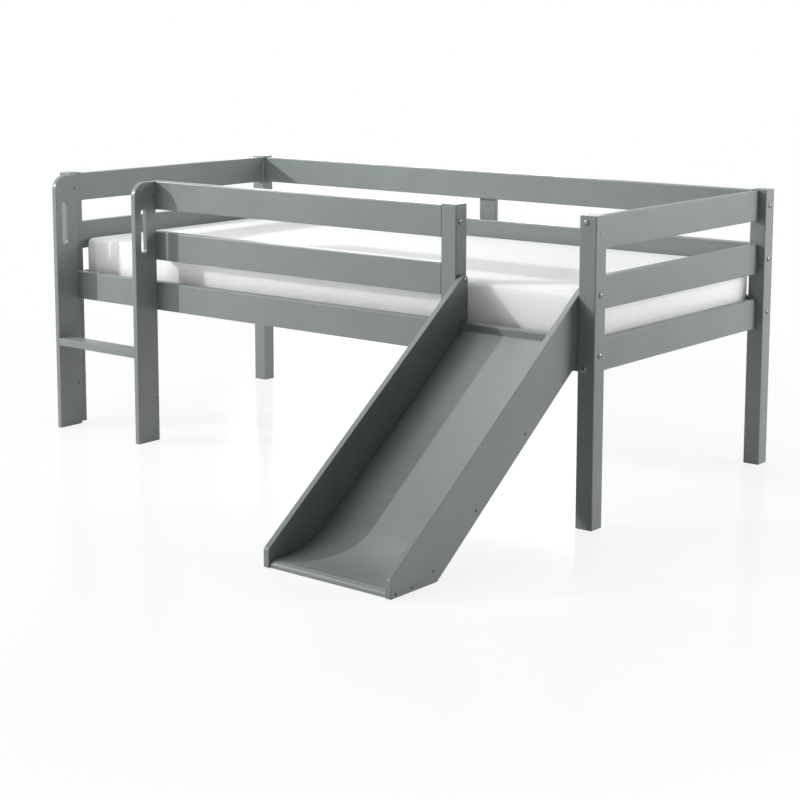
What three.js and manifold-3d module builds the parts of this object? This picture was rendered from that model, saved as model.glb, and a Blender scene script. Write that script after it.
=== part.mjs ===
// A low loft bed with a slide: four posts, end and side rails, a guard at the front, a slatted
// base with a mattress, a one-rung ladder at the left and a slide at the right.
// Sizes are in millimetres. X runs along the bed, Y from its open front to its back, Z up.

import * as THREE from "three";
import { mergeVertices } from "three/addons/utils/BufferGeometryUtils.js";
import Module from "manifold-3d";

const wasm = await Module();
wasm.setup();

// The whole bed
const bedLength = 2100;
const bedDepth = 980;
const postHeight = 840;

// Fits: the gap between pieces that meet, and how far a cutter runs past the wood
const fit = 0.3;
const overrun = 5;

// Posts: square lengths with rounded edges and eased ends
const postWide = 52;
const postDeep = 50;
const edgeRound = 3;
const endEase = 2;

// Rails: flat boards, the side ones thicker than the end ones
const railWide = 90;
const railGap = 71;
const endLowGap = 76;
const railDrop = 4;
const sideRailThick = 30;
const sideRailInset = 7;
const endRailThick = 22;
const endRailInset = 24.5;

// The stub tenon on each rail end that enters a post
const tenonWide = 44;
const tenonThick = 12;
const endTenonThick = 10;
const tenonLong = 15;

// Bolts with a low domed head and a round socket
const boltRadius = 3;
const boltGrip = 40;
const headRadius = 8;
const headRim = 0.9;
const headHigh = 3.4;
const socketRadius = 2.3;
const socketDeep = 2;
const sideBoltInset = 26;
const endBoltInset = 31;
const endBoltRise = 31;
const plugRadius = 5;
const plugHigh = 1.5;
const plugDeep = 10;

// The stile let into the backs of the back rails
const stileWide = 66;
const stileThick = 16;
const stileStop = 12;

// The guard post's lower end stands off the slats by this much
const guardPostClear = 5;

// Slatted base: a bearer under each side, and the slats across them
const bearerThick = 25;
const bearerHigh = 28;
const slatCount = 12;
const slatWide = 95;
const slatThick = 18;
const slatEndGap = 3;
const slatEdge = 2;

// Mattress
const mattressHigh = 146;
const mattressSideGap = 2;
const mattressEndGap = 2;
const mattressCorner = 30;
const mattressEdge = 20;
const mattressCrown = 6;
const mattressDraw = 4;
const crownShares = [0.85, 0.6, 0.3];
const undersideShare = 0.5;

// Ladder: two upright boards with hand slots, and a rung
const ladderSideGap = 6.5;
const ladderClear = 356.5;
const ladderBoardWide = 90;
const ladderBoardThick = 18;
const ladderCorner = 45;
const handSlotWide = 23;
const handSlotLong = 140;
const handSlotMargin = 26;
const handSlotDrop = 85;
const rungTop = 302;
const rungThick = 25;
const rungDeep = 55;
const rungTenonDeep = 35;
const rungTenonThick = 12;
const rungTenonLong = 9;
const pinHoleRadius = 3;
const pinHoleMargin = 11;
const pinHoleLow = 141;

// Slide: two side boards, a bent surface between them and a rounded nose at its foot
const slideWide = 408;
const slideReach = 778;
const slideLevelLong = 14;
const slideBoardWide = 145;
const slideBoardThick = 18;
const slideTipMargin = 14;
const slideHeelLong = 30;
const slideScrewCover = 3;
const surfaceDrop = 113;
const surfaceThick = 18;
const surfaceBend = 300;
const surfaceClear = 1;
const noseInset = 4;
const noseDeep = 32;
const noseRound = 14;

// How finely the rounded forms are cut
const cornerSteps = 3;
const arcSteps = 9;
const turnSteps = 14;
const domeSteps = 4;
const sideSteps = 10;

// Heights and places that follow from the sizes
const railTop = postHeight - railDrop;
const railPitch = railWide + railGap;
const sideMiddles = [0, 1, 2].map((n) => railTop - railWide / 2 - n * railPitch);
const [topMiddle, midMiddle, lowMiddle] = sideMiddles;
const endMiddles = [topMiddle, midMiddle, midMiddle - railWide - endLowGap];
const endBoltHeights = [endMiddles[0] + endBoltRise, endMiddles[2] - endBoltRise];
const sideRailTopLow = lowMiddle + railWide / 2;
const sideRailBottomLow = lowMiddle - railWide / 2;
const railBack = sideRailInset + sideRailThick;
const innerLength = bedLength - 2 * postWide;
const slatBottom = sideRailBottomLow + bearerHigh + fit;
const slatTop = slatBottom + slatThick;
const guardRight = bedLength - postWide - slideWide;
const guardLeft = guardRight - postWide;
const ladderLeft = postWide + ladderSideGap;
const ladderRight = ladderLeft + ladderBoardThick + ladderClear;
const ladderFront = sideRailInset - fit - ladderBoardWide;
const stileLow = sideRailBottomLow + stileStop;
const stileHigh = railTop - stileStop;
const surfaceEnd = noseInset - slideReach + noseDeep + fit;
const mattressFront = sideRailInset + postDeep + mattressSideGap;
const mattressBack = bedDepth - railBack - mattressSideGap;

// Colours and finishes
const lacquer = { color: 0x868b89, roughness: 0.38, metalness: 0 };
const bareWood = { color: 0xd9c39b, roughness: 0.7, metalness: 0 };
const zinc = { color: 0x8d9293, roughness: 0.35, metalness: 0.8 };
const cover = { color: 0xf1f1ef, roughness: 0.9, metalness: 0 };

// A closed geometry as a solid that can be joined and cut
function solid(geometry) {
  const bare = geometry.index ? geometry.toNonIndexed() : geometry.clone();
  bare.deleteAttribute("normal");
  bare.deleteAttribute("uv");
  const merged = mergeVertices(bare);
  return new wasm.Manifold(
    new wasm.Mesh({
      numProp: 3,
      vertProperties: new Float32Array(merged.attributes.position.array),
      triVerts: new Uint32Array(merged.index.array),
    }),
  );
}

// A solid as a geometry with flat faces
function skin(body) {
  const mesh = body.getMesh();
  const shared = new THREE.BufferGeometry();
  shared.setAttribute("position", new THREE.BufferAttribute(mesh.vertProperties, 3));
  shared.setIndex(new THREE.BufferAttribute(mesh.triVerts, 1));
  const geometry = shared.toNonIndexed();
  geometry.computeVertexNormals();
  return geometry;
}

// The turn that lays a shape drawn in a plane so that its depth runs along X, Y or Z
const xAxis = new THREE.Vector3(1, 0, 0);
const yAxis = new THREE.Vector3(0, 1, 0);
const zAxis = new THREE.Vector3(0, 0, 1);
const layings = {
  x: new THREE.Matrix4().makeBasis(yAxis, zAxis, xAxis),
  y: new THREE.Matrix4().makeBasis(zAxis, xAxis, yAxis),
  z: new THREE.Matrix4().makeBasis(xAxis, yAxis, zAxis),
};

// The points of an arc, both ends included
function arc(middle, radius, from, to, steps) {
  return Array.from({ length: steps + 1 }, (_, n) => {
    const angle = from + ((to - from) * n) / steps;
    return new THREE.Vector2(
      middle[0] + radius * Math.cos(angle),
      middle[1] + radius * Math.sin(angle),
    );
  });
}

// A rectangle about the origin with rounded corners
function roundedRectangle(wide, high, radius, steps) {
  const quarters = [0, 1, 2, 3].map((n) => (n * Math.PI) / 2);
  return quarters.flatMap((start) => {
    const corner = new THREE.Vector2(
      Math.SQRT2 * Math.cos(start + Math.PI / 4),
      Math.SQRT2 * Math.sin(start + Math.PI / 4),
    );
    const middle = [corner.x * (wide / 2 - radius), corner.y * (high / 2 - radius)];
    return arc(middle, radius, start, start + Math.PI / 2, steps);
  });
}

// A plate of the given outline, its thickness about the origin, its rims eased where ease is given
function plate(axis, outline, thick, ease = 0) {
  const geometry = new THREE.ExtrudeGeometry(outline, {
    depth: thick - 2 * ease,
    bevelEnabled: ease > 0,
    bevelThickness: ease,
    bevelSize: ease,
    bevelOffset: -ease,
    bevelSegments: cornerSteps - 1,
  });
  geometry.translate(0, 0, ease - thick / 2);
  return solid(geometry.applyMatrix4(layings[axis]));
}

// A length of timber along an axis, its middle at the origin, its long edges rounded
function timber(axis, length, wide, high, round, ease = 0) {
  const outline = new THREE.Shape(roundedRectangle(wide, high, round, cornerSteps));
  return plate(axis, outline, length, ease);
}

// A plain block, for tenons and cuts
function block(size, middle) {
  return solid(new THREE.BoxGeometry(...size).translate(...middle));
}

// A round bar along an axis, for bores
function bar(axis, radius, length, middle) {
  const geometry = new THREE.CylinderGeometry(radius, radius, length, turnSteps);
  geometry.rotateX(Math.PI / 2).applyMatrix4(layings[axis]).translate(...middle);
  return solid(geometry);
}

const joined = (body, pieces) => pieces.reduce((whole, piece) => whole.add(piece), body);
const cut = (body, pieces) => pieces.reduce((rest, piece) => rest.subtract(piece), body);

// A mesh of a solid or a geometry, with a name, a finish and a place
function part(name, shape, finish, place) {
  const geometry = shape.isBufferGeometry ? shape : skin(shape);
  const mesh = new THREE.Mesh(geometry, new THREE.MeshStandardMaterial(finish));
  mesh.name = name;
  mesh.position.set(...place);
  return mesh;
}

// A corner post, its foot at the origin. sideX and sideY are -1 or 1, towards the outer faces.
function cornerPost(sideX, sideY, sideRails, throughBolts, plugs) {
  const boltY = sideY * (postDeep / 2 - sideBoltInset);
  const endRailX = sideX * (postWide / 2 - endRailInset - endRailThick / 2);
  const endBoltX = sideX * (postWide / 2 - endBoltInset);
  const pocket = tenonLong + fit;
  const pocketWide = tenonWide + 2 * fit;
  const sidePockets = sideRails.map((height) =>
    block(
      [pocket + overrun, tenonThick + 2 * fit, pocketWide],
      [-sideX * (postWide / 2 - pocket / 2 + overrun / 2), boltY, height],
    ),
  );
  const endPockets = endMiddles.map((height) =>
    block(
      [endTenonThick + 2 * fit, pocket + overrun, pocketWide],
      [endRailX, -sideY * (postDeep / 2 - pocket / 2 + overrun / 2), height],
    ),
  );
  const bores = throughBolts.map((height) =>
    bar("x", boltRadius + fit, postWide + overrun, [0, boltY, height]),
  );
  const plugHoles = plugs.map((height) =>
    bar("x", boltRadius + fit, 2 * plugDeep + 2 * fit, [(sideX * postWide) / 2, boltY, height]),
  );
  const endBores = endBoltHeights.map((height) =>
    bar("y", boltRadius + fit, postDeep + overrun, [endBoltX, 0, height]),
  );
  const post = timber("z", postHeight, postWide, postDeep, edgeRound, endEase);
  return cut(post.translate([0, 0, postHeight / 2]), [
    ...sidePockets,
    ...endPockets,
    ...bores,
    ...plugHoles,
    ...endBores,
  ]);
}

// The guard post, at its real height above the floor: its lower end is halved over the low side
// rail and stops just above the slats.
function guardPost() {
  const low = slatTop + guardPostClear;
  const boltY = sideBoltInset - sideRailInset - postDeep / 2;
  const pocket = tenonLong + fit;
  const lap = sideRailThick + fit;
  const lapHigh = sideRailTopLow + fit - low;
  const post = timber("z", postHeight - low, postWide, postDeep, edgeRound, endEase);
  const halving = block(
    [postWide + overrun, lap + overrun, lapHigh + overrun],
    [0, (lap - overrun - postDeep) / 2, low + (lapHigh - overrun) / 2],
  );
  const pockets = [topMiddle, midMiddle].map((height) =>
    block(
      [pocket + overrun, tenonThick + 2 * fit, tenonWide + 2 * fit],
      [(pocket - overrun - postWide) / 2, boltY, height],
    ),
  );
  const bores = [topMiddle, midMiddle].map((height) =>
    bar("x", boltRadius + fit, postWide + overrun, [0, boltY, height]),
  );
  return cut(post.translate([0, 0, (postHeight + low) / 2]), [halving, ...pockets, ...bores]);
}

// A rail, its middle at the origin. Each end in tenonEnds (-1, 1) gets a stub tenon, offset across
// the rail by tenonShift, and each bore is a blind hole at [end, across, up].
function rail(axis, length, thick, tenon, tenonShift, tenonEnds, bores) {
  const place = (along, across, up) => (axis === "x" ? [along, across, up] : [across, along, up]);
  const wood =
    axis === "x"
      ? timber("x", length, thick, railWide, edgeRound)
      : timber("y", length, railWide, thick, edgeRound);
  const stub = tenonLong + fit;
  const tenons = tenonEnds.map((end) =>
    block(
      place(2 * stub, tenon, tenonWide),
      place((end * length) / 2, tenonShift, 0),
    ),
  );
  const holes = bores.map(([end, across, up]) =>
    bar(axis, boltRadius + fit, 2 * (boltGrip + fit), place((end * length) / 2, across, up)),
  );
  return cut(joined(wood, tenons), holes);
}

// The housing for the stile, cut into the back of a back rail
function stileHousing(railMiddle) {
  const deep = stileThick - sideRailInset + fit;
  const low = stileLow - fit - railMiddle;
  const high = stileHigh + fit - railMiddle;
  const from = Math.max(low, -railWide / 2 - overrun);
  const to = Math.min(high, railWide / 2 + overrun);
  return block(
    [stileWide + 2 * fit, deep + overrun, to - from],
    [0, (sideRailThick - deep + overrun) / 2, (from + to) / 2],
  );
}

// A bolt along +Z of its own frame: the head's seat is at the origin and the shank runs down
function bolt(shank) {
  const crown = Array.from({ length: domeSteps + 1 }, (_, n) => {
    const angle = (n / domeSteps) * (Math.PI / 2);
    const reach = socketRadius + (headRadius - socketRadius) * Math.cos(angle);
    return new THREE.Vector2(reach, headRim + (headHigh - headRim) * Math.sin(angle));
  });
  const profile = [
    new THREE.Vector2(0, -shank),
    new THREE.Vector2(boltRadius, -shank),
    new THREE.Vector2(boltRadius, 0),
    new THREE.Vector2(headRadius, 0),
    ...crown,
    new THREE.Vector2(socketRadius, headHigh - socketDeep),
    new THREE.Vector2(0, headHigh - socketDeep),
  ];
  return new THREE.LatheGeometry(profile, turnSteps).rotateX(Math.PI / 2);
}

// A cap that closes an unused bore
function plug() {
  const profile = [
    new THREE.Vector2(0, -plugDeep),
    new THREE.Vector2(boltRadius, -plugDeep),
    new THREE.Vector2(boltRadius, 0),
    new THREE.Vector2(plugRadius, 0),
    new THREE.Vector2(plugRadius, plugHigh / 2),
    new THREE.Vector2(plugRadius / 2, plugHigh),
    new THREE.Vector2(0, plugHigh),
  ];
  return new THREE.LatheGeometry(profile, turnSteps).rotateX(Math.PI / 2);
}

// A ladder board in the YZ plane, its middle thickness at x = 0, its foot's front corner at the
// origin of that plane. The rung's pocket is on the side named by inner (-1 or 1).
function ladderBoard(inner) {
  const wide = ladderBoardWide;
  const outline = new THREE.Shape([
    new THREE.Vector2(0, 0),
    new THREE.Vector2(wide, 0),
    new THREE.Vector2(wide, railTop),
    ...arc([ladderCorner, railTop - ladderCorner], ladderCorner, Math.PI / 2, Math.PI, arcSteps),
  ]);
  const slotRadius = handSlotWide / 2;
  const slotY = handSlotMargin + slotRadius;
  const slotHigh = railTop - handSlotDrop - slotRadius;
  const slotLow = slotHigh - handSlotLong + handSlotWide;
  outline.holes.push(
    new THREE.Path([
      ...arc([slotY, slotHigh], slotRadius, 0, Math.PI, arcSteps),
      ...arc([slotY, slotLow], slotRadius, Math.PI, 2 * Math.PI, arcSteps),
    ]),
  );
  const pocketDeep = rungTenonLong + fit;
  const pocket = block(
    [pocketDeep + overrun, rungTenonDeep + 2 * fit, rungTenonThick + 2 * fit],
    [
      inner * (ladderBoardThick / 2 - (pocketDeep - overrun) / 2),
      rungDeep / 2,
      rungTop - rungThick / 2,
    ],
  );
  const pinHoles = [topMiddle, pinHoleLow].map((height) =>
    bar("x", pinHoleRadius, ladderBoardThick + overrun, [0, wide - pinHoleMargin, height]),
  );
  return cut(plate("x", outline, ladderBoardThick, endEase), [pocket, ...pinHoles]);
}

// The rung with a stub tenon at each end, its front edge at y = 0 and its top at z = 0
function rung() {
  const length = ladderClear - 2 * fit;
  const wood = timber("x", length, rungDeep, rungThick, edgeRound);
  const tenon = block(
    [length + 2 * (rungTenonLong + fit), rungTenonDeep, rungTenonThick],
    [0, 0, 0],
  );
  return wood.add(tenon).translate([0, rungDeep / 2, -rungThick / 2]);
}

// The bend at the slide's foot turns the surface level just before its end. The slope is the one
// whose line touches the bend and passes under the tip's bolt at the depth of the boards.
const surfaceLevel = surfaceClear + surfaceThick;
const bendMiddle = [surfaceEnd + slideLevelLong, surfaceLevel + surfaceBend];
const slideRun = sideBoltInset - bendMiddle[0];
const slideFall = midMiddle - bendMiddle[1];
const slideSlope =
  Math.acos((surfaceDrop - slideTipMargin - surfaceBend) / Math.hypot(slideRun, slideFall)) -
  Math.atan2(slideRun, slideFall);

// Heights of the slide's sloping lines above the floor at a place y along it
const slideRise = Math.tan(slideSlope);
const slideLean = Math.cos(slideSlope);
const slideTopAt = (y) => midMiddle + slideTipMargin / slideLean + slideRise * (y - sideBoltInset);
const slideUnderAt = (y) => slideTopAt(y) - slideBoardWide / slideLean;
const surfaceAt = (y) => slideTopAt(y) - surfaceDrop / slideLean;
const yWhere = (lineAt, height) => (height - lineAt(0)) / slideRise;

// A slide side board. Its tip is rounded about the bolt that holds it to its post, its heel is cut
// level, and a notch lets it sit on the low side rail.
function slideBoard(screwSide) {
  const railFront = sideRailInset - fit;
  const heelFront = railFront - slideHeelLong;
  const heel = slideUnderAt(heelFront);
  const outline = new THREE.Shape([
    new THREE.Vector2(-slideReach, 0),
    new THREE.Vector2(yWhere(slideUnderAt, 0), 0),
    new THREE.Vector2(heelFront, heel),
    new THREE.Vector2(railFront, heel),
    new THREE.Vector2(railFront, sideRailTopLow + fit),
    new THREE.Vector2(sideBoltInset + slideTipMargin, sideRailTopLow + fit),
    ...arc(
      [sideBoltInset, midMiddle],
      slideTipMargin,
      0,
      Math.PI / 2 + slideSlope,
      arcSteps,
    ),
    new THREE.Vector2(-slideReach, slideTopAt(-slideReach)),
  ]);
  const bore =
    screwSide === "through"
      ? bar("x", boltRadius + fit, slideBoardThick + overrun, [0, sideBoltInset, midMiddle])
      : bar("x", boltRadius + fit, 2 * (slideBoardThick - slideScrewCover + fit), [
          slideBoardThick / 2,
          sideBoltInset,
          midMiddle,
        ]);
  return cut(plate("x", outline, slideBoardThick, endEase), [bore]);
}

// The sliding surface: a straight board that bends level at its foot
function slideSurface() {
  const railFront = sideRailInset - fit;
  const under = (y) => surfaceAt(y) - surfaceThick / slideLean;
  const down = -Math.PI / 2;
  const outline = new THREE.Shape([
    new THREE.Vector2(railFront, surfaceAt(railFront)),
    ...arc(bendMiddle, surfaceBend, down + slideSlope, down, arcSteps),
    new THREE.Vector2(surfaceEnd, surfaceLevel),
    new THREE.Vector2(surfaceEnd, surfaceClear),
    ...arc(bendMiddle, surfaceBend + surfaceThick, down, down + slideSlope, arcSteps),
    new THREE.Vector2(railFront, under(railFront)),
  ]);
  return plate("x", outline, slideWide - 2 * slideBoardThick - 4 * fit);
}

// The rounded nose at the slide's foot
function slideNose() {
  const front = noseInset - slideReach;
  const back = front + noseDeep;
  const outline = new THREE.Shape([
    new THREE.Vector2(front, surfaceClear),
    new THREE.Vector2(back, surfaceClear),
    new THREE.Vector2(back, surfaceLevel),
    ...arc(
      [front + noseRound, surfaceLevel - noseRound],
      noseRound,
      Math.PI / 2,
      Math.PI,
      arcSteps,
    ),
  ]);
  return plate("x", outline, slideWide - 2 * slideBoardThick - 4 * fit);
}

// The mattress, its middle underside at the origin: rings from the middle of the underside, round
// the soft edges and over the crowned top. Its long sides are drawn in a little between the corners.
function mattress() {
  const long = innerLength - 2 * mattressEndGap;
  const wide = mattressBack - mattressFront;
  const plan = (inset, share) => {
    const corners = roundedRectangle(
      long - 2 * inset,
      wide - 2 * inset,
      Math.max(mattressCorner - inset, mattressCorner / 4),
      cornerSteps + 1,
    );
    return corners
      .flatMap((point, n) => {
        const next = corners[(n + 1) % corners.length];
        const steps = point.distanceTo(next) > mattressCorner ? sideSteps : 1;
        return Array.from({ length: steps }, (_, k) => point.clone().lerp(next, k / steps));
      })
      .map((point) => {
        const draw = mattressDraw * (1 - ((2 * point.x) / long) ** 2);
        return [share * point.x, share * (point.y - Math.sign(point.y) * draw)];
      });
  };
  const rows = [];
  const addRow = (inset, share, height) =>
    rows.push(plan(inset, share).map(([x, y]) => [x, y, height]));
  const turns = Array.from({ length: cornerSteps + 1 }, (_, n) => (n / cornerSteps) * (Math.PI / 2));
  addRow(mattressEdge, undersideShare, 0);
  turns.forEach((turn) =>
    addRow(mattressEdge * (1 - Math.sin(turn)), 1, mattressEdge * (1 - Math.cos(turn))),
  );
  turns.forEach((turn) =>
    addRow(
      mattressEdge * (1 - Math.cos(turn)),
      1,
      mattressHigh - mattressEdge * (1 - Math.sin(turn)),
    ),
  );
  crownShares.forEach((share) =>
    addRow(mattressEdge, share, mattressHigh + mattressCrown * (1 - share ** 2)),
  );
  const count = rows[0].length;
  const points = [[0, 0, 0], ...rows.flat(), [0, 0, mattressHigh + mattressCrown]];
  const at = (row, n) => 1 + row * count + (n % count);
  const faces = [];
  for (let n = 0; n < count; n += 1) {
    faces.push(0, at(0, n + 1), at(0, n));
    rows.slice(1).forEach((_, row) => {
      faces.push(at(row, n), at(row, n + 1), at(row + 1, n + 1));
      faces.push(at(row, n), at(row + 1, n + 1), at(row + 1, n));
    });
    faces.push(points.length - 1, at(rows.length - 1, n), at(rows.length - 1, n + 1));
  }
  const geometry = new THREE.BufferGeometry();
  geometry.setAttribute("position", new THREE.Float32BufferAttribute(points.flat(), 3));
  geometry.setIndex(faces);
  geometry.computeVertexNormals();
  return geometry;
}

// The bed is drawn from the left posts' outer faces and the front posts' faces. Its group moves it
// so that the origin is on the floor, in the middle of all that stands out, bolt heads included.
const bed = new THREE.Group();
bed.position.set(-bedLength / 2, (slideReach - bedDepth - fit - headHigh) / 2, 0);
const frame = new THREE.Group();
const base = new THREE.Group();
const ladder = new THREE.Group();
const slide = new THREE.Group();
const bolts = new THREE.Group();
bed.add(frame, base, ladder, slide, bolts);

// Corner posts
const sides = { left: -1, right: 1 };
const depths = { front: -1, back: 1 };
const postX = (side) => (side < 0 ? postWide / 2 : bedLength - postWide / 2);
const postY = (depth) => (depth < 0 ? postDeep / 2 : bedDepth - postDeep / 2);
const boltLineY = (depth) => (depth < 0 ? sideBoltInset : bedDepth - sideBoltInset);
const sideRailsAt = { front: [lowMiddle], back: sideMiddles };
const throughBoltsAt = {
  left_front: [lowMiddle],
  right_front: [lowMiddle, midMiddle],
  left_back: sideMiddles,
  right_back: sideMiddles,
};
const plugsAt = { right_front: [topMiddle] };
for (const [sideName, side] of Object.entries(sides)) {
  for (const [depthName, depth] of Object.entries(depths)) {
    const key = `${sideName}_${depthName}`;
    const post = cornerPost(
      side,
      depth,
      sideRailsAt[depthName],
      throughBoltsAt[key],
      plugsAt[key] ?? [],
    );
    frame.add(part(`post_${key}`, post, lacquer, [postX(side), postY(depth), 0]));
  }
}
const guardMiddleY = sideRailInset + postDeep / 2;
frame.add(
  part("guard_post", guardPost(), lacquer, [guardRight - postWide / 2, guardMiddleY, 0]),
);

// End rails
const endRailLength = bedDepth - 2 * postDeep - 2 * fit;
const endRailMiddle = endRailInset + endRailThick / 2;
const rowNames = ["top", "middle", "low"];
for (const [sideName, side] of Object.entries(sides)) {
  rowNames.forEach((row, n) => {
    const shift = side * (endRailMiddle - endBoltInset);
    const rise = [endBoltRise, 0, -endBoltRise][n];
    const bores = rise === 0 ? [] : [-1, 1].map((end) => [end, shift, rise]);
    const wood = rail("y", endRailLength, endRailThick, endTenonThick, 0, [-1, 1], bores);
    const x = side < 0 ? endRailMiddle : bedLength - endRailMiddle;
    frame.add(part(`end_rail_${sideName}_${row}`, wood, lacquer, [x, bedDepth / 2, endMiddles[n]]));
  });
}

// Back rails and the stile let into them
const sideRailLength = innerLength - 2 * fit;
const sideRailMiddle = sideRailInset + sideRailThick / 2;
const boltShift = sideBoltInset - sideRailMiddle;
const bothEnds = [-1, 1];
rowNames.forEach((row, n) => {
  const bores = bothEnds.map((end) => [end, -boltShift, 0]);
  const whole = rail("x", sideRailLength, sideRailThick, tenonThick, -boltShift, bothEnds, bores);
  const wood = cut(whole, [stileHousing(sideMiddles[n])]);
  const place = [bedLength / 2, bedDepth - sideRailMiddle, sideMiddles[n]];
  frame.add(part(`back_rail_${row}`, wood, lacquer, place));
});
const stile = timber("z", stileHigh - stileLow, stileWide, stileThick, edgeRound);
frame.add(
  part("back_stile", stile, lacquer, [
    bedLength / 2,
    bedDepth - stileThick / 2,
    (stileLow + stileHigh) / 2,
  ]),
);

// Front rails: a low one all the way along, and two guard rails from the ladder to the guard post
const lowBores = bothEnds.map((end) => [end, boltShift, 0]);
const lowRail = rail("x", sideRailLength, sideRailThick, tenonThick, boltShift, bothEnds, lowBores);
frame.add(part("front_rail_low", lowRail, lacquer, [bedLength / 2, sideRailMiddle, lowMiddle]));
const guardLength = guardLeft - fit - ladderRight;
const guardMiddleX = ladderRight + guardLength / 2;
["guard_rail_top", "guard_rail_middle"].forEach((name, n) => {
  const bores = [[1, boltShift, 0]];
  const wood = rail("x", guardLength, sideRailThick, tenonThick, boltShift, [1], bores);
  frame.add(part(name, wood, lacquer, [guardMiddleX, sideRailMiddle, sideMiddles[n]]));
});

// Slatted base
const bearerLength = innerLength - 2 * fit;
const bearerY = { front: railBack + fit + bearerThick / 2 };
bearerY.back = bedDepth - bearerY.front;
for (const name of Object.keys(depths)) {
  const wood = timber("x", bearerLength, bearerThick, bearerHigh, slatEdge);
  const place = [bedLength / 2, bearerY[name], sideRailBottomLow + bearerHigh / 2];
  base.add(part(`bearer_${name}`, wood, bareWood, place));
}
const slatLength = bedDepth - 2 * (railBack + slatEndGap);
const slatSpace = (innerLength - slatCount * slatWide) / (slatCount + 1);
for (let n = 0; n < slatCount; n += 1) {
  const wood = timber("y", slatLength, slatThick, slatWide, slatEdge);
  const x = postWide + slatSpace + slatWide / 2 + n * (slatSpace + slatWide);
  const name = `slat_${String(n + 1).padStart(2, "0")}`;
  base.add(part(name, wood, bareWood, [x, bedDepth / 2, slatBottom + slatThick / 2]));
}
const mattressMiddleY = (mattressFront + mattressBack) / 2;
base.add(part("mattress", mattress(), cover, [bedLength / 2, mattressMiddleY, slatTop + fit]));

// Ladder
ladder.position.set(ladderLeft, ladderFront, 0);
const rightBoardX = ladderRight - ladderLeft;
ladder.add(
  part("ladder_board_left", ladderBoard(1), lacquer, [ladderBoardThick / 2, 0, 0]),
  part("ladder_board_right", ladderBoard(-1), lacquer, [rightBoardX + ladderBoardThick / 2, 0, 0]),
  part("ladder_rung", rung(), lacquer, [ladderBoardThick + ladderClear / 2, 0, rungTop]),
);

// Slide
slide.position.set(guardRight, 0, 0);
const boardX = fit + slideBoardThick / 2;
slide.add(
  part("slide_board_left", slideBoard("through"), lacquer, [boardX, 0, 0]),
  part("slide_board_right", slideBoard("blind"), lacquer, [slideWide - boardX, 0, 0]),
  part("slide_surface", slideSurface(), lacquer, [slideWide / 2, 0, 0]),
  part("slide_nose", slideNose(), lacquer, [slideWide / 2, 0, 0]),
);

// Bolts: each is turned so that its head faces outwards and sits a hair off the wood
const headings = {
  left: [0, -Math.PI / 2, 0],
  right: [0, Math.PI / 2, 0],
  front: [Math.PI / 2, 0, 0],
  back: [-Math.PI / 2, 0, 0],
};
function addBolt(name, shape, heading, place) {
  const mesh = part(name, shape, zinc, place);
  mesh.rotation.set(...headings[heading]);
  bolts.add(mesh);
}
const postShank = postWide + fit + boltGrip;
for (const [sideName, side] of Object.entries(sides)) {
  const seatX = side < 0 ? -fit : bedLength + fit;
  for (const [depthName, depth] of Object.entries(depths)) {
    const key = `${sideName}_${depthName}`;
    throughBoltsAt[key].forEach((height) => {
      const row = rowNames[sideMiddles.indexOf(height)];
      const holdsSlide = key === "right_front" && height === midMiddle;
      const shank = holdsSlide ? postWide + 2 * fit + slideBoardThick - slideScrewCover : postShank;
      addBolt(`side_bolt_${key}_${row}`, bolt(shank), sideName, [seatX, boltLineY(depth), height]);
    });
    endBoltHeights.forEach((height, n) => {
      const x = side < 0 ? endBoltInset : bedLength - endBoltInset;
      const y = depth < 0 ? -fit : bedDepth + fit;
      const row = ["top", "low"][n];
      addBolt(`end_bolt_${key}_${row}`, bolt(postDeep + fit + boltGrip), depthName, [x, y, height]);
    });
  }
}
addBolt("hole_plug_right_front", plug(), "right", [bedLength + fit, sideBoltInset, topMiddle]);
addBolt("guard_bolt", bolt(postShank), "right", [guardRight + fit, sideBoltInset, topMiddle]);
addBolt("slide_bolt_left", bolt(postShank + slideBoardThick + fit), "right", [
  guardRight + slideBoardThick + 2 * fit,
  sideBoltInset,
  midMiddle,
]);

export default bed;
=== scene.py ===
"""Low loft bed with a slide: the finishes and fine pieces that dress its fixed frame.

Lengths are in metres and angles in radians. X runs along the bed, Y from its open front to its
back and Z up, with the origin on the floor, as in the frame.
"""

from math import cos, pi, radians, sin, tan

import bpy
import numpy as np
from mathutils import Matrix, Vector


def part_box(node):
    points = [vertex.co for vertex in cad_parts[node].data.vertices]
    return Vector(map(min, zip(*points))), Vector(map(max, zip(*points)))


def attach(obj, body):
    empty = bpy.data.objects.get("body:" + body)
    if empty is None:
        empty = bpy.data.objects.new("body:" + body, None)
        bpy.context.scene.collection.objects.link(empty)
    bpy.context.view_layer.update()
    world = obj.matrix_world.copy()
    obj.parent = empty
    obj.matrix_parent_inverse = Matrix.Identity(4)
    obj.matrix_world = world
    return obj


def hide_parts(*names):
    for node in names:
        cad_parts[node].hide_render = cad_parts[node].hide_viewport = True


bl_info = {
    "name": "Low loft bed with slide",
    "version": (1, 0, 0),
    "blender": (4, 5, 0),
    "location": "3D View > Sidebar > Loft bed",
    "description": "Dresses the frame of a low loft bed with its finishes, slide, bolts and mattress",
    "category": "Object",
}

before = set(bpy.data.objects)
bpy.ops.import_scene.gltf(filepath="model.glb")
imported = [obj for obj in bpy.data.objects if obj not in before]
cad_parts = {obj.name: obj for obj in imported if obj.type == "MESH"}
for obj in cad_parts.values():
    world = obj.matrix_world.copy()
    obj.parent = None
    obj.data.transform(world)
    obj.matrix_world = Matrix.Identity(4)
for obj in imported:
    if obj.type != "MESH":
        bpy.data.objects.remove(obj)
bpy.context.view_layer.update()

# The gap that the frame leaves between pieces that meet
FIT = 0.0003

# Steps that the bend of the slide is drawn with
BEND_STEPS = 40

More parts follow.
